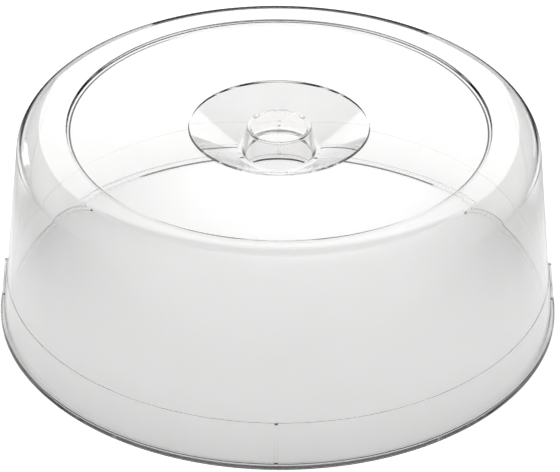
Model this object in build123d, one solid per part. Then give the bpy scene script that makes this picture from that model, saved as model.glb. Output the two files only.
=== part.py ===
"""Clear domed cover for a round cake, standing open side down on its rim.

Four clear mouldings are welded together at half-lap seats:

  skirt_ring   flared band with the foot flange and four ribs
  dome_shell   drafted wall, rounded shoulder and recessed top panel
  finger_dish  cone let into the top panel, so that fingers reach the post
  grip_post    hollow post in the middle of the dish, open from below

All sizes are in millimetres. The origin is the centre of the rim's underside
and +Z points up through the post. Half-sections are drawn flat, with the radius
along X and the height along Y, and then turned round the cover's axis.
"""

import os
from math import atan2, cos, radians, sqrt, tan

from build123d import *

# Whole cover
RIM_RADIUS = 150.0           # outside of the foot flange
COVER_HEIGHT = 112.2         # rim to the raised ring of the top
WALL = 2.2                   # wall of every moulding

# Skirt ring
SKIRT_HEIGHT = 25.4          # rim to the line where the wall begins
SKIRT_DRAFT = 6.0            # degrees that the skirt leans in
FLANGE_HEIGHT = 2.9
FLANGE_REACH = 1.95          # how far the flange stands out from the skirt
FLANGE_BEVEL = 0.5           # bevel of the flange's upper edge
RIB_COUNT = 4
RIB_WIDTH = 1.9
RIB_REACH = 1.4              # how far a rib's top stands out from the skirt

# Dome shell
SKIRT_STEP = 0.3             # how far the skirt stands proud of the wall above
WALL_DRAFT = 5.9             # degrees that the wall leans in
SHOULDER_RADIUS = 13.7
RAISED_RING = 25.1           # width of the raised ring, with the shoulder's corner square
RECESS_DEPTH = 1.4           # raised ring to the top panel
RECESS_RUN = 0.5             # width of the step down to the panel, seen from above

# Finger dish
DISH_RADIUS = 47.0           # where the top panel turns down into the dish
DISH_DEPTH = 14.7            # top panel to the dish's floor
DISH_FLOOR_RADIUS = 22.0
DISH_ROUND = 1.0             # rounding of the dish's lip

# Grip post
POST_RADIUS = 16.8           # at its top
POST_HEIGHT = 14.7           # above the dish's floor
POST_DRAFT = 4.0             # degrees that its side leans in
POST_BEVEL = 0.8             # bevel of its top edge
POST_FLARE = 2.5             # how far its foot spreads over the dish's floor
GATE_RADIUS = 0.8            # mark that the mould's gate leaves on top
GATE_HEIGHT = 0.4

# Half-lap seats
LAP = 1.5                    # how far one half of a wall runs past the other
BOND_GAP = 0.05              # room for the weld on the upright flanks

# Levels, slopes and radii that follow from the sizes above
PANEL_LEVEL = COVER_HEIGHT - RECESS_DEPTH
FLOOR_LEVEL = PANEL_LEVEL - DISH_DEPTH
POST_LEVEL = FLOOR_LEVEL + POST_HEIGHT
SKIRT_LEAN = tan(radians(SKIRT_DRAFT))
WALL_LEAN = tan(radians(WALL_DRAFT))
POST_LEAN = tan(radians(POST_DRAFT))
SKIRT_FOOT_RADIUS = RIM_RADIUS - FLANGE_REACH
SKIRT_TOP_RADIUS = SKIRT_FOOT_RADIUS - (SKIRT_HEIGHT - FLANGE_HEIGHT) * SKIRT_LEAN
SHELL_FOOT_RADIUS = SKIRT_TOP_RADIUS - SKIRT_STEP
SHELL_BORE_RADIUS = SHELL_FOOT_RADIUS - WALL / cos(radians(WALL_DRAFT))
LAP_RADIUS = (SHELL_FOOT_RADIUS + SHELL_BORE_RADIUS) / 2
SHELL_CORNER_RADIUS = SHELL_FOOT_RADIUS - (COVER_HEIGHT - SKIRT_HEIGHT) * WALL_LEAN
RECESS_RADIUS = SHELL_CORNER_RADIUS - RAISED_RING
RECESS_SLOPE = atan2(RECESS_DEPTH, RECESS_RUN)
DISH_SLOPE = atan2(DISH_DEPTH, DISH_RADIUS - DISH_FLOOR_RADIUS)
DISH_SHIFT = WALL * tan(DISH_SLOPE / 2)  # a corner's move out, from skin to lining
DISH_SEAT_RADIUS = DISH_RADIUS + DISH_SHIFT
POST_BORE_RADIUS = POST_RADIUS + WALL * POST_LEAN - WALL / cos(radians(POST_DRAFT))


def walled(skin, lining):
    """Half-section between an outer and an inner line that run the same way."""
    ends = [Line(skin @ 0, lining @ 0), Line(skin @ 1, lining @ 1)]
    return make_face([*skin.edges(), *lining.edges(), *ends])


def zone(inside, outside, low, high):
    """Rectangle of the half-section between two radii and two levels."""
    corners = [(inside, low), (outside, low), (outside, high), (inside, high)]
    return make_face(Polyline(*corners, close=True))


def turned(half_section):
    """Solid that a half-section sweeps round the cover's axis."""
    return revolve(Plane.XZ * half_section, Axis.Z, 360)


def wall_line(foot_radius, ring_level, step_radius, shoulder_radius):
    """One side of the shell's section, from its foot to the dish's seat in the panel."""
    corner_radius = foot_radius - (ring_level - SKIRT_HEIGHT) * WALL_LEAN
    panel_level = ring_level - RECESS_DEPTH
    shoulder = FilletPolyline(
        (foot_radius, SKIRT_HEIGHT),
        (corner_radius, ring_level),
        (step_radius, ring_level),
        radius=shoulder_radius,
    )
    panel = Polyline(
        (step_radius, ring_level),
        (step_radius - RECESS_RUN, panel_level),
        (DISH_SEAT_RADIUS, panel_level),
    )
    return Wire([*shoulder.edges(), *panel.edges()])


def wall_section():
    """The dome shell's full wall, before its seats are cut."""
    lining_step_radius = RECESS_RADIUS - WALL * tan(RECESS_SLOPE / 2)
    lining_shoulder = SHOULDER_RADIUS - WALL
    skin = wall_line(SHELL_FOOT_RADIUS, COVER_HEIGHT, RECESS_RADIUS, SHOULDER_RADIUS)
    lining = wall_line(
        SHELL_BORE_RADIUS, COVER_HEIGHT - WALL, lining_step_radius, lining_shoulder
    )
    return walled(skin, lining)


def skirt_lip(gap):
    """Where the skirt's inner half runs up behind the shell's outer half."""
    return zone(0, LAP_RADIUS + gap, SKIRT_HEIGHT, SKIRT_HEIGHT + LAP)


def dish_rim(gap):
    """Where the dish's upper half lies on the panel's lower half."""
    return zone(0, DISH_SEAT_RADIUS + LAP + gap, PANEL_LEVEL - WALL / 2, COVER_HEIGHT)


def dome_shell():
    """Drafted wall, rounded shoulder and recessed panel with a seat for the dish."""
    return turned(wall_section() - skirt_lip(BOND_GAP) - dish_rim(BOND_GAP))


def skirt_section():
    """Flared band with its foot flange, and the lip that enters the shell."""
    bore_foot = SHELL_BORE_RADIUS + SKIRT_HEIGHT * SKIRT_LEAN
    band = Polyline(
        (bore_foot, 0),
        (RIM_RADIUS, 0),
        (RIM_RADIUS, FLANGE_HEIGHT),
        (SKIRT_FOOT_RADIUS, FLANGE_HEIGHT),
        (SKIRT_TOP_RADIUS, SKIRT_HEIGHT),
        (SHELL_BORE_RADIUS, SKIRT_HEIGHT),
        close=True,
    )
    face = make_face(band)
    flange_edge = face.vertices().sort_by_distance((RIM_RADIUS, FLANGE_HEIGHT))[0]
    return chamfer(flange_edge, FLANGE_BEVEL) + (wall_section() & skirt_lip(0))


def rib():
    """One upright rib, from the flange up to the skirt's top edge."""
    root = WALL / 2
    outline = Polyline(
        (SKIRT_FOOT_RADIUS - root, FLANGE_HEIGHT),
        (RIM_RADIUS - FLANGE_BEVEL, FLANGE_HEIGHT),
        (SKIRT_TOP_RADIUS + RIB_REACH, SKIRT_HEIGHT),
        (SKIRT_TOP_RADIUS - root, SKIRT_HEIGHT),
        close=True,
    )
    return extrude(Plane.XZ * make_face(outline), RIB_WIDTH / 2, both=True)


def skirt_ring():
    """Skirt with its ribs spread evenly round it."""
    ribs = PolarLocations(0, RIB_COUNT) * rib()
    return turned(skirt_section()) + ribs


def dish_section():
    """The dish's full wall, from its rim to its flat floor, before its seats are cut."""
    rim_radius = DISH_SEAT_RADIUS + LAP
    floor_edge = DISH_FLOOR_RADIUS - LAP
    lip = FilletPolyline(
        (rim_radius, PANEL_LEVEL),
        (DISH_RADIUS, PANEL_LEVEL),
        (DISH_FLOOR_RADIUS, FLOOR_LEVEL),
        radius=DISH_ROUND,
    )
    floor = Line((DISH_FLOOR_RADIUS, FLOOR_LEVEL), (floor_edge, FLOOR_LEVEL))
    lining = Polyline(
        (rim_radius, PANEL_LEVEL - WALL),
        (DISH_SEAT_RADIUS, PANEL_LEVEL - WALL),
        (DISH_FLOOR_RADIUS + DISH_SHIFT, FLOOR_LEVEL - WALL),
        (floor_edge, FLOOR_LEVEL - WALL),
    )
    return walled(Wire([*lip.edges(), floor]), lining)


def post_foot(gap):
    """Where the post's foot lies on the lower half of the dish's floor."""
    return zone(0, DISH_FLOOR_RADIUS + gap, FLOOR_LEVEL - WALL / 2, FLOOR_LEVEL)


def finger_dish():
    """Cone with a rim that lies on the panel and a floor that carries the post."""
    under_rim = zone(DISH_SEAT_RADIUS - BOND_GAP, RIM_RADIUS, 0, PANEL_LEVEL - WALL / 2)
    return turned(dish_section() - under_rim - post_foot(BOND_GAP))


def post_line(top, top_radius, flare):
    """One side of the post's section, from the middle of its top to its foot."""
    floor = top - POST_HEIGHT
    flare_radius = top_radius + (POST_HEIGHT - flare) * POST_LEAN
    return Polyline(
        (0, top),
        (top_radius, top),
        (flare_radius, floor + flare),
        (flare_radius + flare, floor),
        (DISH_FLOOR_RADIUS, floor),
    )


def gate_mark():
    """Low round mark in the middle of the post's top."""
    crown = (0, POST_LEVEL + GATE_HEIGHT)
    edge = (GATE_RADIUS, POST_LEVEL)
    dome = TangentArc(crown, edge, tangent=(1, 0))
    return make_face([dome, Line(edge, (0, POST_LEVEL)), Line((0, POST_LEVEL), crown)])


def grip_post():
    """Hollow post, closed on top, with a foot that lies on the dish's floor."""
    lining_flare = POST_FLARE + WALL * (2 - sqrt(2))
    skin = post_line(POST_LEVEL, POST_RADIUS, POST_FLARE)
    lining = post_line(POST_LEVEL - WALL, POST_BORE_RADIUS, lining_flare)
    wall = walled(skin, lining)
    top_edge = wall.vertices().sort_by_distance((POST_RADIUS, POST_LEVEL))[0]
    seat_radius = DISH_FLOOR_RADIUS - LAP - BOND_GAP
    under_foot = zone(seat_radius, RIM_RADIUS, 0, FLOOR_LEVEL - WALL / 2)
    return turned(chamfer(top_edge, POST_BEVEL) + gate_mark() - under_foot)


def main():
    """Write one STEP file for each moulding."""
    os.makedirs("parts", exist_ok=True)
    for build in (dome_shell, skirt_ring, finger_dish, grip_post):
        export_step(build(), f"parts/{build.__name__}.step")


main()
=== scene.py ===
"""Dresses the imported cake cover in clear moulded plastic, on a white floor in soft studio light.

Each of the four mouldings is turned again as a fine closed mesh, because clear
plastic shows every facet. Where two mouldings are welded, the faces of the joint
are left invisible, so that light runs through the weld as through one body.
Half-sections are drawn flat, with the radius first and the height second.
Lengths are in metres, with MM for millimetres, and angles are in degrees.
"""

import logging
import math
from dataclasses import dataclass
from enum import Enum
from typing import Callable, Sequence

import bmesh
import bpy
from mathutils import Matrix, Vector


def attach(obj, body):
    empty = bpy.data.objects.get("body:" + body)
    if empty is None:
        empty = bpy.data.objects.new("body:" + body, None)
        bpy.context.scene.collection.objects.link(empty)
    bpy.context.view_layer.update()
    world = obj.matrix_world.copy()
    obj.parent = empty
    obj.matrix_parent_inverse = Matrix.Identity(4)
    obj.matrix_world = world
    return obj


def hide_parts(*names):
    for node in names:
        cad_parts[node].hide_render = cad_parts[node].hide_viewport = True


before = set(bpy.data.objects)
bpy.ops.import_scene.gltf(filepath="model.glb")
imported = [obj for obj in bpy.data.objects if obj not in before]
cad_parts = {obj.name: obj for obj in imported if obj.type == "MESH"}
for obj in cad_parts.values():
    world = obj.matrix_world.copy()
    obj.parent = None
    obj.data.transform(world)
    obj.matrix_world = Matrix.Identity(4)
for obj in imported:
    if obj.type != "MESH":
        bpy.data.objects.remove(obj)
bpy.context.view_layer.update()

LOG = logging.getLogger("cake_cover")
MM = 0.001
RIGHT_ANGLE = 90.0

Colour = tuple[float, float, float, float]
Point = tuple[float, float, float]
Span = tuple[float, float]

AXIS: Point = (0.0, 0.0, 0.0)  # where the cover's axis meets the floor
LEVEL: Point = (1.0, 1.0, 0.0)  # what lays a direction flat


# Shader maths


class Ray(Enum):
    """Outputs of the Light Path node that the studio uses."""

    CAMERA = "Is Camera Ray"
    GLOSSY = "Is Glossy Ray"
    TRANSMISSION = "Is Transmission Ray"
    SCATTERED = "Diffuse Depth"
    MIRRORED = "Glossy Depth"


class Value:
    """An output in a shader tree; arithmetic on it adds Math nodes."""

    def __init__(self, tree: "ShaderTree", socket: bpy.types.NodeSocket) -> None:
        """Wrap an output socket.

        Args:
            tree: the tree that the socket belongs to.
            socket: the output.
        """
        self.tree = tree
        self.socket = socket

    def maths(self, operation: str, *terms: "Value | float") -> "Value":
        """Add one Math node.

        Args:
            operation: the node's operation, such as MULTIPLY.
            terms: its inputs, in order.

        Returns:
            The node's result.
        """
        return self.tree.node("ShaderNodeMath", {"operation": operation}, dict(enumerate(terms)))

    def __add__(self, other: "Value | float") -> "Value":
        """Sum with a value or number."""
        return self.maths("ADD", self, other)

    def __sub__(self, other: "Value | float") -> "Value":
        """Difference from a value or number."""
        return self.maths("SUBTRACT", self, other)

    def __rsub__(self, other: "Value | float") -> "Value":
        """Difference from a number on the left."""
        return self.maths("SUBTRACT", other, self)

    def __mul__(self, other: "Value | float") -> "Value":
        """Product with a value or number."""
        return self.maths("MULTIPLY", self, other)

    def at_most(self, other: "Value | float") -> "Value":
        """The smaller of the two."""
        return self.maths("MINIMUM", self, other)

    def at_least(self, other: "Value | float") -> "Value":
        """The larger of the two."""
        return self.maths("MAXIMUM", self, other)

    def ramp(self, low: float, high: float) -> "Value":
        """Smooth change from 0 at low to 1 at high.

        Args:
            low: where the change starts.
            high: where it ends.

        Returns:
            The value after the change.
        """
        return self.tree.node(
            "ShaderNodeMapRange",
            {"interpolation_type": "SMOOTHSTEP"},
            {"Value": self, "From Min": low, "From Max": high},
        )


class ShaderTree:
    """The node tree of a material or of the world."""

    def __init__(self, owner: bpy.types.Material | bpy.types.World, output: str) -> None:
        """Empty the owner's tree and give it an output.

        Args:
            owner: the material or world.
            output: the output node's type.
        """
        owner.use_nodes = True
        self.tree = owner.node_tree
        self.tree.nodes.clear()
        self.output = self.tree.nodes.new(output)

    def node(
        self,
        kind: str,
        settings: dict[str, object] | None = None,
        inputs: dict[str | int, object] | None = None,
        result: str | int = 0,
    ) -> Value:
        """Add a node, set it up, and fill its sockets.

        Args:
            kind: the node's type.
            settings: its properties, which are set first.
            inputs: values or links of its input sockets, by name or number.
            result: which output to return.

        Returns:
            The chosen output.
        """
        node = self.tree.nodes.new(kind)
        for name, value in (settings or {}).items():
            setattr(node, name, value)
        for name, value in (inputs or {}).items():
            if isinstance(value, Value):
                self.tree.links.new(value.socket, node.inputs[name])
            else:
                node.inputs[name].default_value = value
        return Value(self, node.outputs[result])

    def mixed(self, share: Value, first: Colour, second: Colour) -> Value:
        """Mix two colours.

        Args:
            share: how much there is of the second.
            first: the first colour.
            second: the second colour.

        Returns:
            The mixed colour.
        """
        return self.node(
            "ShaderNodeMix", {"data_type": "RGBA"}, {0: share, 6: first, 7: second}, 2
        )

    def place(self) -> Value:
        """Where the shaded point lies on its object."""
        return self.node("ShaderNodeTexCoord", result="Object")

    def noise(self, place: Value, scale: float, detail: float = 2.0) -> Value:
        """Add a noise, which is the same in each run.

        Args:
            place: where it is read.
            scale: how fine it is.
            detail: how many finer layers it has.

        Returns:
            The noise, from 0 to 1.
        """
        inputs = {"Vector": place, "Scale": scale, "Detail": detail}
        return self.node("ShaderNodeTexNoise", {}, inputs)

    def vector(self, operation: str, *terms: Value | Point, result: str = "Vector") -> Value:
        """Add one Vector Math node.

        Args:
            operation: the node's operation, such as DISTANCE.
            terms: its inputs, in order.
            result: Vector, or Value for a single number.

        Returns:
            The chosen result.
        """
        return self.node(
            "ShaderNodeVectorMath", {"operation": operation}, dict(enumerate(terms)), result
        )

    def ray(self, kind: Ray) -> Value:
        """What the Light Path node says of the ray, as 0 or 1."""
        return self.node("ShaderNodeLightPath", result=kind.value).at_most(1.0)

    def finish(self, surface: Value) -> None:
        """Send a shader to the output."""
        self.tree.links.new(surface.socket, self.output.inputs["Surface"])


# Finishes


@dataclass(frozen=True)
class Finish:
    """A procedural surface."""

    name: str

    def material(self) -> bpy.types.Material:
        """Build the surface.

        Returns:
            A new material of that name.
        """
        made = bpy.data.materials.new(self.name)
        tree = ShaderTree(made, "ShaderNodeOutputMaterial")
        tree.finish(self.shader(tree))
        return made

    def shader(self, tree: ShaderTree) -> Value:
        """Shader that the surface shows."""
        raise NotImplementedError


@dataclass(frozen=True)
class ClearPlastic(Finish):
    """Polished clear plastic, as it leaves a bright steel mould.

    Attributes:
        tint: colour of the clearest places.
        smoke: colour of the greyest places.
        smoke_span: haze at which the colour changes from tint to smoke.
        index: index of refraction.
        polish: roughness of the smoothest places.
        haze: roughness that the dullest places have more.
        haze_span: haze over which the roughness rises.
        haze_scale: how fine the haze is.
        haze_detail: how many finer layers it has.
        flow_scale: how fine the flow lines of the moulding are.
        flow_depth: their depth.
        flow_strength: how much of that depth the light sees.
    """

    tint: Colour = (0.993, 0.99, 0.988, 1.0)
    smoke: Colour = (0.978, 0.974, 0.971, 1.0)
    smoke_span: Span = (0.35, 0.7)
    index: float = 1.5
    polish: float = 0.003
    haze: float = 0.01
    haze_span: Span = (0.4, 0.8)
    haze_scale: float = 55.0
    haze_detail: float = 4.0
    flow_scale: float = 14.0
    flow_depth: float = 0.02 * MM
    flow_strength: float = 0.1

    def shader(self, tree: ShaderTree) -> Value:
        """Clear body whose tint, polish and surface vary a little over the moulding.

        Args:
            tree: the material's tree.

        Returns:
            The shader.
        """
        place = tree.place()
        haze = tree.noise(place, self.haze_scale, self.haze_detail)
        flow = tree.noise(place, self.flow_scale)
        depth = {"Strength": self.flow_strength, "Distance": self.flow_depth, "Height": flow}
        surface = tree.node("ShaderNodeBump", {}, depth)
        return tree.node(
            "ShaderNodeBsdfPrincipled",
            {},
            {
                "Base Color": tree.mixed(haze.ramp(*self.smoke_span), self.tint, self.smoke),
                "Roughness": haze.ramp(*self.haze_span) * self.haze + self.polish,
                "IOR": self.index,
                "Transmission Weight": 1.0,
                "Normal": surface,
            },
        )


@dataclass(frozen=True)
class WeldedFace(Finish):
    """The inside of a weld, which light passes as if nothing were there."""

    def shader(self, tree: ShaderTree) -> Value:
        """Invisible face."""
        return tree.node("ShaderNodeBsdfTransparent")


@dataclass(frozen=True)
class StudioFloor(Finish):
    """White paper with a painted pool of light round the cover, and a painted contact shadow under
    the rim.

    The painted pool of light fades away from a middle behind the cover's own. Once a ray is
    mirrored, the paper far from the cover is painted dark, but for two painted lit spots behind
    it.

    Attributes:
        paper: the paper's colour.
        shade: its colour where the grain is darkest.
        grain_scale: how fine the grain is.
        backdrop_glow: glow of the bare paper before the camera.
        clear_glow: glow of the paper beside the cover, as the plastic shows it.
        painted_pool_glow: painted light in the middle of the pool, as the plastic shows it.
        near_fall: how much of that is lost over the near span.
        near: distances from the middle where the first fall starts and ends.
        far_fall: how much is lost over the far span.
        far: distances where the second fall starts and ends.
        middle: where the painted pool of light is brightest.
        rim: radius of the cover's rim.
        rim_soft: softness of the change there.
        painted_dark: what the painted contact shadow and the painted dark reflections show.
        dark_reflection_span: radii between which mirrored paper is painted dark.
        lit_reflection_spots: points round which mirrored paper stays lit, as painted light.
        lit_spot_span: distances from them between which that painted lit part ends.
        contact_shadow_inner: radii between which the painted contact shadow sets in.
        contact_shadow_outer: distances from its own middle between which it ends.
        contact_shadow_middle: that middle, a little before the cover's.
        contact_shadow_strength: how dark the painted contact shadow is.
    """

    name: str = "studio_paper"
    paper: Colour = (0.9, 0.9, 0.9, 1.0)
    shade: Colour = (0.88, 0.88, 0.88, 1.0)
    grain_scale: float = 300.0
    backdrop_glow: float = 0.45
    clear_glow: float = 0.14
    painted_pool_glow: float = 0.52
    near_fall: float = 0.21
    near: Span = (80.0 * MM, 165.0 * MM)
    far_fall: float = 0.16
    far: Span = (130.0 * MM, 400.0 * MM)
    middle: Point = (25.0 * MM, 200.0 * MM, 0.0)
    rim: float = 150.0 * MM
    rim_soft: float = 2.0 * MM
    painted_dark: Colour = (0.03, 0.03, 0.03, 1.0)
    dark_reflection_span: Span = (160.0 * MM, 310.0 * MM)
    lit_reflection_spots: tuple[Point, Point] = (
        (-270.0 * MM, 170.0 * MM, 0.0),
        (270.0 * MM, 170.0 * MM, 0.0),
    )
    lit_spot_span: Span = (50.0 * MM, 110.0 * MM)
    contact_shadow_inner: Span = (148.8 * MM, 149.3 * MM)
    contact_shadow_outer: Span = (149.2 * MM, 149.5 * MM)
    contact_shadow_middle: Point = (0.1 * MM, -1.0 * MM, 0.0)
    contact_shadow_strength: float = 0.97

    def shader(self, tree: ShaderTree) -> Value:
        """White paper with a glow that lights nothing, carrying a painted pool of light and
        painted shade.

        Args:
            tree: the material's tree.

        Returns:
            The shader.
        """
        place = tree.place()
        colour = tree.mixed(tree.noise(place, self.grain_scale), self.paper, self.shade)
        paper = tree.node("ShaderNodeBsdfDiffuse", {}, {"Color": colour})
        glow = tree.node("ShaderNodeEmission", {}, {"Strength": self.glow(tree, place)})
        bright = tree.node("ShaderNodeAddShader", {}, {0: paper, 1: glow})
        # The dark emission shown by the painted contact shadow and the painted dark reflections.
        painted_dark = tree.node("ShaderNodeEmission", {}, {"Color": self.painted_dark})
        return tree.node(
            "ShaderNodeMixShader", {}, {0: self.darkness(tree, place), 1: bright, 2: painted_dark}
        )

    def glow(self, tree: ShaderTree, place: Value) -> Value:
        """How strongly the paper glows for each ray, with a painted pool of light inside the rim.

        Args:
            tree: the material's tree.
            place: where the paper is looked at.

        Returns:
            The glow for the camera, and for what the plastic mirrors or lets through.
        """
        distance = tree.vector("DISTANCE", place, self.middle, result="Value")
        radius = tree.vector("DISTANCE", place, AXIS, result="Value")
        camera, glossy, transmission = map(tree.ray, (Ray.CAMERA, Ray.GLOSSY, Ray.TRANSMISSION))
        # Painted pool of light: brightest at the middle and fading with distance from it; outside
        # the rim it gives way to clear_glow.
        painted_pool = self.painted_pool_glow - distance.ramp(*self.near) * self.near_fall
        painted_pool = painted_pool - distance.ramp(*self.far) * self.far_fall
        outside = radius.ramp(self.rim - self.rim_soft, self.rim + self.rim_soft)
        seen = outside * (self.clear_glow - painted_pool) + painted_pool
        return camera * self.backdrop_glow + (glossy + transmission).at_most(1.0) * seen

    def darkness(self, tree: ShaderTree, place: Value) -> Value:
        """Painted contact shadow under the rim, and painted dark reflections of the far paper.

        Args:
            tree: the material's tree.
            place: where the paper is looked at.

        Returns:
            How dark the paper is, from 0 to 1.
        """
        radius, shadow, left, right = (
            tree.vector("DISTANCE", place, point, result="Value")
            for point in (AXIS, self.contact_shadow_middle, *self.lit_reflection_spots)
        )
        # Painted dark reflection: mirrored rays see the paper far from the cover as dark, but for
        # painted lit spots round two points behind it.
        beyond_lit_spots = left.at_most(right).ramp(*self.lit_spot_span)
        painted_dark_reflection = radius.ramp(*self.dark_reflection_span) * beyond_lit_spots * tree.ray(Ray.MIRRORED)
        # Painted contact shadow: a dark ring on the paper just under the rim, reaching a little
        # past it in front.
        painted_contact_shadow = radius.ramp(*self.contact_shadow_inner) * (1.0 - shadow.ramp(*self.contact_shadow_outer))
        return (painted_contact_shadow * self.contact_shadow_strength).at_least(painted_dark_reflection)


@dataclass(frozen=True)
class CardLight(Finish):
    """Evenly lit card; only what it is mirrored in shows it."""

    name: str = "light_card"
    strength: float = 1.45
    edge: Colour = (0.97, 0.97, 0.97, 1.0)
    middle: Colour = (1.0, 1.0, 1.0, 1.0)
    cloud_scale: float = 4.0

    def shader(self, tree: ShaderTree) -> Value:
        """Glowing card, a little uneven like lit cloth.

        Args:
            tree: the material's tree.

        Returns:
            The shader.
        """
        cloud = tree.noise(tree.place(), self.cloud_scale)
        colour = tree.mixed(cloud, self.edge, self.middle)
        return tree.node("ShaderNodeEmission", {}, {"Color": colour, "Strength": self.strength})


# Studio


def sine(degrees: float) -> float:
    """Sine of an angle in degrees."""
    return math.sin(math.radians(degrees))


def between(low: float, high: float, place: float) -> float:
    """Where a place on a sheet one metre wide lies between two ends."""
    return low + (high - low) * (place + 0.5)


@dataclass(frozen=True)
class LightBand:
    """A soft-edged band of light round the studio, between two heights above the floor.

    Attributes:
        strength: its brightness.
        low: angle above the floor of its lower edge.
        low_soft: softness of that edge.
        high: angle above the floor of its upper edge.
        high_soft: softness of that edge.
        middle: angle of its middle, clockwise from the back.
        half_width: angle from its middle to its sides.
        side_soft: softness of its sides.
    """

    strength: float
    low: float
    low_soft: float
    high: float
    high_soft: float
    middle: float
    half_width: float
    side_soft: float

    def light(self, tree: ShaderTree) -> Value:
        """Brightness of the band in each direction.

        Args:
            tree: the world's tree.

        Returns:
            The band's brightness in the direction that is looked at.
        """
        sky = tree.node("ShaderNodeTexCoord", result="Generated")
        rise = tree.node("ShaderNodeSeparateXYZ", {}, {0: sky}, "Z")
        level = tree.vector("NORMALIZE", tree.vector("MULTIPLY", sky, LEVEL))
        turn = math.radians(self.middle)
        aim = (math.sin(turn), math.cos(turn), 0.0)
        facing = tree.vector("DOT_PRODUCT", level, aim, result="Value")
        above = rise.ramp(sine(self.low - self.low_soft), sine(self.low + self.low_soft))
        below = rise.ramp(sine(self.high + self.high_soft), sine(self.high - self.high_soft))
        edge = sine(RIGHT_ANGLE - self.half_width - self.side_soft)
        core = sine(RIGHT_ANGLE - self.half_width + self.side_soft)
        return above * below * facing.ramp(edge, core) * self.strength


@dataclass(frozen=True)
class Board:
    """A lit board that stands behind the cover, seen from the front."""

    name: str
    left: float
    right: float
    low: float
    high: float
    light: CardLight


@dataclass
class Studio:
    """Floor, lit boards, world light and camera.

    Attributes:
        sheet_cells: how many cells a flat sheet has each way.
        floor_width: width of the floor.
        floor_gap: how far it lies under the rim.
        board_back: how far behind the cover's middle the boards stand.
        boards: the high card and the two low wings.
        light_bounces: how often light may meet the plastic.
        white: the backdrop's colour.
        room: light that the plastic mirrors from all round.
        window: light that it mirrors on top of that.
        lens: focal length in millimetres.
        camera_place: where the camera stands.
        camera_turn: its turn to the left.
        camera_dip: how far it looks down.
        camera_roll: its turn about its own line of sight.
    """

    sheet_cells: int = 12
    floor_width: float = 1000.0 * MM
    floor_gap: float = 0.15 * MM
    board_back: float = 281.0 * MM
    boards: tuple[Board, ...] = (
        Board(
            "studio_card",
            left=-190.0 * MM,
            right=190.0 * MM,
            low=150.0 * MM,
            high=378.0 * MM,
            light=CardLight(),
        ),
        Board(
            "studio_left_wing",
            left=-400.0 * MM,
            right=-92.0 * MM,
            low=70.0 * MM,
            high=130.0 * MM,
            light=CardLight("wing_light", strength=0.8),
        ),
        Board(
            "studio_right_wing",
            left=108.0 * MM,
            right=400.0 * MM,
            low=70.0 * MM,
            high=130.0 * MM,
            light=CardLight("wing_light", strength=0.8),
        ),
    )
    light_bounces: int = 32
    white: Colour = (1.0, 1.0, 1.0, 1.0)
    room: float = 0.03
    window: LightBand = LightBand(
        strength=3.0,
        low=-6.0,
        low_soft=2.5,
        high=11.0,
        high_soft=2.5,
        middle=-42.5,
        half_width=4.5,
        side_soft=1.5,
    )
    lens: float = 195.78
    camera_place: Point = (3.236 * MM, -1365.313 * MM, 933.468 * MM)
    camera_turn: float = 0.0974
    camera_dip: float = 33.147
    camera_roll: float = 0.458

    def floor(self) -> bpy.types.Object:
        """Lay the white paper just under the rim.

        Returns:
            The floor.
        """
        floor = self.sheet("studio_floor")
        for vertex in floor.data.vertices:
            vertex.co = vertex.co * self.floor_width
            vertex.co.z = -self.floor_gap
        floor.data.materials.append(StudioFloor().material())
        return floor

    def stand(self, board: Board) -> bpy.types.Object:
        """Stand one lit board behind the cover.

        Args:
            board: its place, size and light.

        Returns:
            The board, which shows only in what mirrors it.
        """
        sheet = self.sheet(board.name)
        for vertex in sheet.data.vertices:
            across = between(board.left, board.right, vertex.co.x)
            height = between(board.low, board.high, vertex.co.y)
            vertex.co = (across, self.board_back, height)
        sheet.data.materials.append(board.light.material())
        sheet.visible_camera = False
        return sheet

    def sheet(self, name: str) -> bpy.types.Object:
        """Add a flat sheet one metre wide and name it.

        Args:
            name: the sheet's name.

        Returns:
            The sheet.
        """
        clear_selection()
        bpy.ops.mesh.primitive_grid_add(
            x_subdivisions=self.sheet_cells, y_subdivisions=self.sheet_cells, size=1.0
        )
        sheet = bpy.context.object
        sheet.name = name
        return sheet

    def world(self) -> None:
        """Make the white backdrop and the soft light that the plastic mirrors."""
        cycles = bpy.context.scene.cycles
        cycles.max_bounces = self.light_bounces
        cycles.glossy_bounces = self.light_bounces
        cycles.transmission_bounces = self.light_bounces
        world = bpy.data.worlds.new("studio")
        world.cycles.sampling_method = "NONE"
        bpy.context.scene.world = world
        tree = ShaderTree(world, "ShaderNodeOutputWorld")
        light = self.window.light(tree) + self.room
        mirrored, scattered = map(tree.ray, (Ray.MIRRORED, Ray.SCATTERED))
        plain = (1.0 - mirrored).at_least(scattered)
        strength = light + plain * (1.0 - light)
        backdrop = {"Color": self.white, "Strength": strength}
        tree.finish(tree.node("ShaderNodeBackground", {}, backdrop))

    def camera(self) -> None:
        """Set up the camera."""
        lens = bpy.data.cameras.new("camera")
        lens.lens = self.lens
        camera = bpy.data.objects.new("camera", lens)
        bpy.context.scene.collection.objects.link(camera)
        turn = Matrix.Rotation(math.radians(self.camera_turn), 4, "Z")
        tilt = Matrix.Rotation(math.radians(RIGHT_ANGLE - self.camera_dip), 4, "X")
        roll = Matrix.Rotation(math.radians(self.camera_roll), 4, "Z")
        camera.matrix_world = Matrix.Translation(self.camera_place) @ turn @ tilt @ roll
        bpy.context.scene.camera = camera


# Turning


def clear_selection() -> None:
    """Leave edit mode and deselect every object."""
    if bpy.context.mode != "OBJECT":
        bpy.ops.object.mode_set(mode="OBJECT")
    bpy.ops.object.select_all(action="DESELECT")


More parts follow.
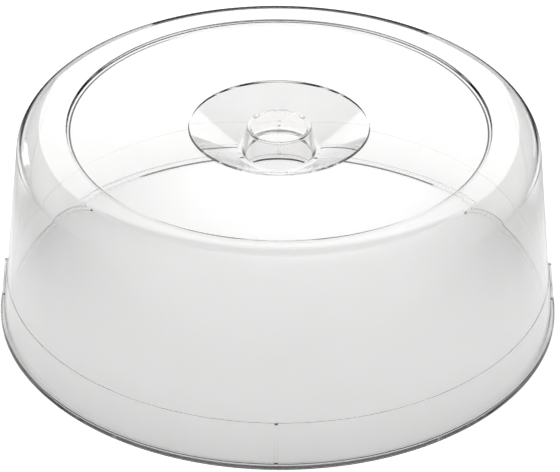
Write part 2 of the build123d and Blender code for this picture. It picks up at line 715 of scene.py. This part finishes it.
def select_by_centre(
    piece: bpy.types.Object, mode: str, wanted: Callable[[Vector], bool]
) -> None:
    """Select faces or edges by their centres, and nothing else.

    Args:
        piece: the piece, in edit mode.
        mode: FACE or EDGE.
        wanted: says whether a centre is wanted.
    """
    bpy.ops.mesh.select_mode(type=mode)
    bpy.ops.mesh.select_all(action="DESELECT")
    mesh = bmesh.from_edit_mesh(piece.data)
    for element in mesh.faces if mode == "FACE" else mesh.edges:
        corners = [vertex.co for vertex in element.verts]
        if wanted(sum(corners, Vector()) / len(corners)):
            element.select_set(True)
    bmesh.update_edit_mesh(piece.data)


@dataclass(frozen=True)
class Corner:
    """A corner of a half-section, with the rounding that softens it."""

    radius: float
    height: float
    rounding: float = 0.0

    @property
    def place(self) -> Vector:
        """The corner as a flat vector."""
        return Vector((self.radius, self.height))


@dataclass(frozen=True)
class HalfSection:
    """Outline of a turned piece; it may start and end on the axis.

    Attributes:
        corners: its corners, in order.
        fine_step: how far a large rounding turns between two points.
        coarse_step: how far a small rounding turns between two points.
        large: radius that a large rounding is above.
        fewest_steps: into how many parts every rounding is divided at least.
        support: how far beyond a rounding's ends the points that hold it lie.
        support_part: part of its radius that this is at most.
    """

    corners: tuple[Corner, ...]
    fine_step: float = 3.5
    coarse_step: float = 9.0
    large: float = 5.0 * MM
    fewest_steps: int = 3
    support: float = 0.2 * MM
    support_part: float = 1.0 / 3.0

    @property
    def closed(self) -> bool:
        """Whether the outline runs round without touching the axis."""
        return self.corners[0].radius > 0.0

    def points(self) -> list[Vector]:
        """Trace the outline.

        Returns:
            Its points, with every rounding divided finely and held by a point on each side.
        """
        traced: list[Vector] = []
        count = len(self.corners)
        for index, corner in enumerate(self.corners):
            if corner.rounding <= 0.0:
                traced.append(corner.place)
                continue
            before = self.corners[index - 1].place
            after = self.corners[(index + 1) % count].place
            traced.extend(self.rounded(before, corner, after))
        return traced

    def rounded(self, before: Vector, corner: Corner, after: Vector) -> list[Vector]:
        """Round one corner.

        Args:
            before: the corner before it.
            corner: the corner.
            after: the corner after it.

        Returns:
            Points from the straight before the rounding to the straight after it.
        """
        here = corner.place
        back = (before - here).normalized()
        ahead = (after - here).normalized()
        opening = back.angle(ahead)
        bend = math.pi - opening
        reach = corner.rounding / math.tan(opening / 2.0)
        depth = corner.rounding / math.sin(opening / 2.0)
        centre = here + (back + ahead).normalized() * depth
        start = here + back * reach
        finish = here + ahead * reach
        arm = start - centre
        side = 1.0 if arm.cross(finish - centre) > 0.0 else -1.0
        step = self.fine_step if corner.rounding > self.large else self.coarse_step
        steps = max(self.fewest_steps, math.ceil(math.degrees(bend) / step))
        arc = [centre + turned(arm, side * bend * index / steps) for index in range(steps + 1)]
        hold = min(self.support, corner.rounding * self.support_part)
        return [start + back * hold, *arc, finish + ahead * hold]


def turned(arm: Vector, angle: float) -> Vector:
    """Turn a flat vector.

    Args:
        arm: the vector.
        angle: the angle in radians, anticlockwise.

    Returns:
        The turned vector.
    """
    return Matrix.Rotation(angle, 2) @ arm


@dataclass(frozen=True)
class Lathe:
    """Turns half-sections into closed meshes.

    Attributes:
        facets: how many facets go round.
        weld_distance: points closer than this become one.
        crease: edges sharper than this angle stay sharp.
    """

    facets: int = 256
    weld_distance: float = 0.002 * MM
    crease: float = 28.0

    def turn(self, name: str, section: HalfSection) -> bpy.types.Object:
        """Turn one piece.

        Args:
            name: the piece's name.
            section: its half-section.

        Returns:
            The closed, smooth piece.
        """
        points = section.points()
        clear_selection()
        bpy.ops.mesh.primitive_plane_add(size=MM)
        piece = bpy.context.object
        piece.name = name
        piece.data.name = name
        bpy.ops.object.mode_set(mode="EDIT")
        bpy.ops.mesh.select_mode(type="VERT")
        self.keep_one_point(points[0])
        runs = list(zip(points, points[1:]))
        if section.closed:
            runs.append((points[-1], points[0]))
        for start, finish in runs:
            step = (finish.x - start.x, 0.0, finish.y - start.y)
            bpy.ops.mesh.extrude_vertices_move(TRANSFORM_OT_translate={"value": step})
        bpy.ops.mesh.select_all(action="SELECT")
        bpy.ops.mesh.remove_doubles(threshold=self.weld_distance)
        bpy.ops.mesh.select_all(action="SELECT")
        bpy.ops.mesh.spin(
            steps=self.facets, angle=math.tau, center=(0.0, 0.0, 0.0), axis=(0.0, 0.0, 1.0)
        )
        bpy.ops.mesh.select_all(action="SELECT")
        bpy.ops.mesh.remove_doubles(threshold=self.weld_distance)
        bpy.ops.mesh.select_all(action="SELECT")
        bpy.ops.mesh.normals_make_consistent(inside=False)
        bpy.ops.object.mode_set(mode="OBJECT")
        return piece

    def keep_one_point(self, place: Vector) -> None:
        """Reduce the primitive in edit mode to a single point.

        Args:
            place: where the point goes, as a flat vector.
        """
        bpy.ops.mesh.select_all(action="SELECT")
        bpy.ops.mesh.merge(type="CENTER")
        bpy.ops.transform.translate(value=(place.x, 0.0, place.y))

    def smooth(self, piece: bpy.types.Object) -> None:
        """Smooth a piece and keep its creases."""
        clear_selection()
        piece.select_set(True)
        bpy.context.view_layer.objects.active = piece
        bpy.ops.object.shade_smooth_by_angle(angle=math.radians(self.crease))


@dataclass(frozen=True)
class Seat:
    """Where a weld lies: faces between two radii and two heights."""

    inner: float
    outer: float
    low: float
    high: float

    def holds(self, centre: Vector) -> bool:
        """Whether a face's centre lies in the seat."""
        radius = math.hypot(centre.x, centre.y)
        return self.inner < radius < self.outer and self.low < centre.z < self.high


@dataclass
class Moulding:
    """A turned moulding that stands for one CAD node."""

    node: str
    slot: str
    finish: ClearPlastic
    lathe: Lathe = Lathe()

    def section(self) -> HalfSection:
        """Half-section of the moulding."""
        raise NotImplementedError

    def seats(self) -> Sequence[Seat]:
        """Where the moulding is welded to its neighbours."""
        return ()

    def shape(self, piece: bpy.types.Object) -> None:
        """Add what isn't round; a plain moulding adds nothing."""

    def build(self) -> bpy.types.Object:
        """Turn, shape and dress the moulding.

        Returns:
            The piece, which rides on the body and stands for its node.
        """
        piece = self.lathe.turn(f"{self.node}_moulding", self.section())
        self.shape(piece)
        self.dress(piece)
        self.lathe.smooth(piece)
        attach(piece, "root")
        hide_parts(self.node)
        return piece

    def dress(self, piece: bpy.types.Object) -> None:
        """Give the piece its plastic, and its welds their invisible faces.

        Args:
            piece: the turned piece.
        """
        piece.data.materials.append(self.finish.material())
        if not self.seats():
            return
        piece.data.materials.append(WeldedFace(f"{self.node}_weld").material())
        for face in piece.data.polygons:
            if any(seat.holds(face.center) for seat in self.seats()):
                face.material_index = 1


# The cover


@dataclass(frozen=True)
class CoverSizes:
    """Sizes that the mouldings share."""

    wall: float = 2.2 * MM
    rim_radius: float = 150.0 * MM
    height: float = 112.2 * MM
    skirt_height: float = 25.4 * MM
    skirt_top: float = 145.68 * MM
    shell_foot: float = 145.38 * MM
    wall_draft: float = 5.9
    lap: float = 1.5 * MM
    recess_depth: float = 1.4 * MM
    dish_radius: float = 47.0 * MM
    dish_seat: float = 47.6 * MM
    dish_depth: float = 14.7 * MM
    dish_floor: float = 22.0 * MM

    @property
    def panel(self) -> float:
        """Level of the top panel."""
        return self.height - self.recess_depth

    @property
    def floor(self) -> float:
        """Level of the dish's floor."""
        return self.panel - self.dish_depth

    @property
    def shell_bore(self) -> float:
        """Inner radius of the shell at its foot."""
        return self.shell_foot - self.wall / math.cos(math.radians(self.wall_draft))

    @property
    def lap_radius(self) -> float:
        """Radius of the weld's upright face between skirt and shell."""
        return (self.shell_foot + self.shell_bore) / 2.0

    def wall_radius(self, foot: float, level: float) -> float:
        """Radius of the drafted wall.

        Args:
            foot: its radius at the skirt's top.
            level: the level.

        Returns:
            The radius at that level.
        """
        return foot - (level - self.skirt_height) * math.tan(math.radians(self.wall_draft))


COVER = CoverSizes()
SKIN = 0.01 * MM


@dataclass
class DomeShell(Moulding):
    """Drafted wall, rounded shoulder and recessed top panel."""

    shoulder: float = 13.7 * MM
    recess_radius: float = 111.3 * MM
    recess_run: float = 0.5 * MM
    step_rounding: float = 0.6 * MM
    crown_radius: float = 121.0 * MM
    crown_fall: float = 3.0
    crown_rounding: float = 115.0 * MM

    def section(self) -> HalfSection:
        """Draw the shell.

        Returns:
            Its half-section, from its foot over the outside and back along the inside.
        """
        under = COVER.height - COVER.wall
        panel_under = COVER.panel - COVER.wall
        weld = COVER.skirt_height + COVER.lap
        rim = COVER.dish_seat + COVER.lap
        slope = math.atan2(COVER.recess_depth, self.recess_run)
        shift = COVER.wall * math.tan(slope / 2.0)
        lining_step = self.recess_radius - shift
        corner = COVER.wall_radius(COVER.shell_foot, COVER.height)
        lining_corner = COVER.wall_radius(COVER.shell_bore, under)
        fall, lining_fall = (
            (end - self.crown_radius) * math.tan(math.radians(self.crown_fall))
            for end in (corner, lining_corner)
        )
        corners = (
            Corner(COVER.shell_foot, COVER.skirt_height),
            Corner(corner, COVER.height - fall, self.shoulder),
            Corner(self.crown_radius, COVER.height, self.crown_rounding),
            Corner(self.recess_radius, COVER.height, self.step_rounding),
            Corner(self.recess_radius - self.recess_run, COVER.panel, self.step_rounding),
            Corner(rim, COVER.panel),
            Corner(rim, COVER.panel - COVER.wall / 2.0),
            Corner(COVER.dish_seat, COVER.panel - COVER.wall / 2.0),
            Corner(COVER.dish_seat, panel_under),
            Corner(lining_step - self.recess_run, panel_under, self.step_rounding),
            Corner(lining_step, under, self.step_rounding),
            Corner(self.crown_radius, under, self.crown_rounding - COVER.wall),
            Corner(lining_corner, under - lining_fall, self.shoulder - COVER.wall),
            Corner(COVER.wall_radius(COVER.shell_bore, weld), weld),
            Corner(COVER.lap_radius, weld),
            Corner(COVER.lap_radius, COVER.skirt_height),
        )
        return HalfSection(corners)

    def seats(self) -> Sequence[Seat]:
        """Find the shell's welds.

        Returns:
            Its seats on the skirt and under the dish.
        """
        weld = COVER.skirt_height + COVER.lap
        rim = COVER.dish_seat + COVER.lap
        return (
            Seat(0.0, COVER.shell_foot - SKIN, 0.0, COVER.skirt_height + SKIN),
            Seat(0.0, COVER.lap_radius + SKIN, 0.0, weld + SKIN),
            Seat(0.0, rim + SKIN, COVER.panel - COVER.wall + SKIN, COVER.panel - SKIN),
        )


@dataclass(frozen=True)
class Rib:
    """An upright rib, pulled straight out of the skirt.

    Attributes:
        outward: level direction that it points in.
        low: height above which the skirt's skin is pulled.
        high: height below which it is pulled.
        width: the rib's width.
        reach: how far it stands out.
        rounding: rounding of its outer edges.
        rounding_steps: into how many parts that is divided.
        strip: facets are cut this far to each side of its middle.
    """

    outward: Vector
    low: float
    high: float
    width: float = 1.9 * MM
    reach: float = 1.4 * MM
    rounding: float = 0.3 * MM
    rounding_steps: int = 3
    strip: float = 9.5 * MM

    @property
    def across(self) -> Vector:
        """Level direction at right angles to the rib."""
        return Vector((-self.outward.y, self.outward.x, 0.0))

    def near(self, centre: Vector) -> bool:
        """Whether the centre of a face lies close to the rib."""
        return centre.dot(self.outward) > 0.0 and abs(centre.dot(self.across)) < self.strip

    def behind(self, centre: Vector) -> bool:
        """Whether the centre of a face lies on the skin that becomes the rib.

        Args:
            centre: the face's centre.

        Returns:
            True inside the rib's width and heights, on the skirt's outside.
        """
        return (
            abs(centre.dot(self.across)) < self.width / 2.0
            and centre.dot(self.outward) > COVER.skirt_top - SKIN
            and self.low < centre.z < self.high
        )

    def outer(self, centre: Vector) -> bool:
        """Whether the centre of an edge lies on one of the rib's outer edges.

        Args:
            centre: the edge's centre.

        Returns:
            True on the two long edges and on the top one.
        """
        side = abs(centre.dot(self.across)) > self.width / 2.0 - SKIN
        return (
            centre.dot(self.outward) > COVER.skirt_top + self.reach / 2.0
            and centre.z > self.low + self.reach
            and (side or centre.z > self.high - self.reach)
        )

    def pull(self, piece: bpy.types.Object) -> None:
        """Cut a strip of the skirt to the rib's width, extrude it and round it.

        Args:
            piece: the turned skirt.
        """
        clear_selection()
        piece.select_set(True)
        bpy.context.view_layer.objects.active = piece
        bpy.ops.object.mode_set(mode="EDIT")
        for side in (-self.width / 2.0, self.width / 2.0):
            select_by_centre(piece, "FACE", self.near)
            bpy.ops.mesh.bisect(plane_co=self.across * side, plane_no=self.across)
        select_by_centre(piece, "FACE", self.behind)
        bpy.ops.mesh.extrude_region_move(
            TRANSFORM_OT_translate={"value": self.outward * self.reach}
        )
        select_by_centre(piece, "EDGE", self.outer)
        bpy.ops.mesh.bevel(offset=self.rounding, segments=self.rounding_steps, affect="EDGES")
        bpy.ops.object.mode_set(mode="OBJECT")


@dataclass
class SkirtRing(Moulding):
    """Flared band with its foot flange and upright ribs."""

    draft: float = 6.0
    flange_height: float = 2.9 * MM
    flange_reach: float = 1.95 * MM
    rounding: float = 0.5 * MM
    foot_rounding: float = 0.2 * MM
    top_rounding: float = 0.12 * MM
    rib_count: int = 4

    def section(self) -> HalfSection:
        """Draw the skirt.

        Returns:
            Its half-section, from the rim's inner edge over the outside and back down the inside.
        """
        weld = COVER.skirt_height + COVER.lap
        lean = math.tan(math.radians(self.draft))
        foot = COVER.rim_radius - self.flange_reach
        flange_top = COVER.rim_radius - self.flange_height * lean
        corners = (
            Corner(COVER.shell_bore + COVER.skirt_height * lean, 0.0, self.foot_rounding),
            Corner(COVER.rim_radius, 0.0, self.foot_rounding),
            Corner(flange_top, self.flange_height, self.rounding),
            Corner(foot, self.flange_height),
            Corner(COVER.skirt_top, COVER.skirt_height, self.top_rounding),
            Corner(COVER.shell_foot, COVER.skirt_height),
            Corner(COVER.lap_radius, COVER.skirt_height),
            Corner(COVER.lap_radius, weld),
            Corner(COVER.wall_radius(COVER.shell_bore, weld), weld),
            Corner(COVER.shell_bore, COVER.skirt_height),
        )
        return HalfSection(corners)

    def seats(self) -> Sequence[Seat]:
        """Find the skirt's weld.

        Returns:
            Its seats on the shell.
        """
        top = COVER.skirt_height
        weld = top + COVER.lap
        return (
            Seat(COVER.lap_radius - SKIN, COVER.shell_foot, top - SKIN, weld - SKIN),
            Seat(0.0, COVER.rim_radius, weld - SKIN, weld + SKIN),
        )

    def shape(self, piece: bpy.types.Object) -> None:
        """Pull the ribs out of the band.

        Args:
            piece: the turned band.
        """
        low = self.flange_height + SKIN
        high = COVER.skirt_height - self.top_rounding / 2.0
        for index in range(self.rib_count):
            angle = math.tau * index / self.rib_count
            Rib(Vector((math.cos(angle), math.sin(angle), 0.0)), low, high).pull(piece)


@dataclass
class FingerDish(Moulding):
    """Cone let into the top panel, round the post."""

    lip: float = 0.8 * MM

    def section(self) -> HalfSection:
        """Draw the dish.

        Returns:
            Its half-section, from its rim down the upper side and back along the under side.
        """
        half = COVER.wall / 2.0
        shift = COVER.dish_seat - COVER.dish_radius
        rim = COVER.dish_seat + COVER.lap
        edge = COVER.dish_floor - COVER.lap
        corners = (
            Corner(rim, COVER.panel),
            Corner(COVER.dish_radius, COVER.panel, self.lip),
            Corner(COVER.dish_floor, COVER.floor),
            Corner(COVER.dish_floor, COVER.floor - half),
            Corner(edge, COVER.floor - half),
            Corner(edge, COVER.floor - COVER.wall),
            Corner(COVER.dish_floor + shift, COVER.floor - COVER.wall, self.lip),
            Corner(COVER.dish_seat, COVER.panel - COVER.wall),
            Corner(COVER.dish_seat, COVER.panel - half),
            Corner(rim, COVER.panel - half),
        )
        return HalfSection(corners)

    def seats(self) -> Sequence[Seat]:
        """Find the dish's welds.

        Returns:
            Its seats on the shell and under the post.
        """
        rim = COVER.dish_seat + COVER.lap
        half = COVER.wall / 2.0
        floor = COVER.floor
        return (
            Seat(COVER.dish_seat - SKIN, rim + SKIN, 0.0, COVER.panel - half + SKIN),
            Seat(rim - SKIN, rim + SKIN, 0.0, COVER.panel - SKIN),
            Seat(0.0, COVER.dish_floor + SKIN, floor - COVER.wall + SKIN, floor - SKIN),
        )


@dataclass
class GripPost(Moulding):
    """Hollow post with a gate mark on top and a foot in the dish."""

    radius: float = 16.8 * MM
    tall: float = 14.7 * MM
    draft: float = 10.0
    rounding: float = 0.5 * MM
    corner_rounding: float = 0.5 * MM
    foot_rounding: float = 0.6 * MM
    foot_lining: float = 0.6 * MM
    gate_radius: float = 0.8 * MM
    gate_flat: float = 0.48 * MM
    gate_height: float = 0.4 * MM
    gate_rounding: float = 0.2 * MM
    gate_foot: float = 0.1 * MM

    def section(self) -> HalfSection:
        """Draw the post.

        Returns:
            Its half-section, from the gate mark round to the middle of its inside.
        """
        top = COVER.floor + self.tall
        under = top - COVER.wall
        lean = math.tan(math.radians(self.draft))
        bore = self.radius + COVER.wall * lean - COVER.wall / math.cos(math.radians(self.draft))
        half = COVER.wall / 2.0
        edge = COVER.dish_floor - COVER.lap
        corners = (
            Corner(0.0, top + self.gate_height),
            Corner(self.gate_flat, top + self.gate_height, self.gate_rounding),
            Corner(self.gate_radius, top, self.gate_foot),
            Corner(self.radius, top, self.rounding),
            Corner(self.radius + self.tall * lean, COVER.floor, self.foot_rounding),
            Corner(COVER.dish_floor, COVER.floor),
            Corner(COVER.dish_floor, COVER.floor - half),
            Corner(edge, COVER.floor - half),
            Corner(edge, COVER.floor - COVER.wall),
            Corner(bore + self.tall * lean, COVER.floor - COVER.wall, self.foot_lining),
            Corner(bore, under, self.corner_rounding),
            Corner(0.0, under),
        )
        return HalfSection(corners)

    def seats(self) -> Sequence[Seat]:
        """Find the post's weld.

        Returns:
            Its seats on the dish.
        """
        edge = COVER.dish_floor - COVER.lap
        floor = COVER.floor
        half = COVER.wall / 2.0
        return (
            Seat(COVER.dish_floor - SKIN, COVER.rim_radius, 0.0, floor - SKIN),
            Seat(edge - SKIN, COVER.rim_radius, floor - COVER.wall + SKIN, floor - half + SKIN),
        )


def main() -> None:
    """Build the studio and the four mouldings, and report each piece."""
    logging.basicConfig(level=logging.INFO, format="%(message)s")
    bpy.context.scene.view_settings.view_transform = "Standard"
    studio = Studio()
    studio.camera()
    studio.world()
    pieces = [studio.floor(), *map(studio.stand, studio.boards)]
    mouldings = (
        DomeShell("dome_shell", "clear_dome", ClearPlastic("clear_dome")),
        SkirtRing("skirt_ring", "clear_skirt", ClearPlastic("clear_skirt")),
        FingerDish("finger_dish", "clear_dish", ClearPlastic("clear_dish")),
        GripPost("grip_post", "clear_post", ClearPlastic("clear_post")),
    )
    pieces += [moulding.build() for moulding in mouldings]
    for piece in pieces:
        LOG.info("%s: %d faces", piece.name, len(piece.data.polygons))


if __name__ == "__main__":
    main()
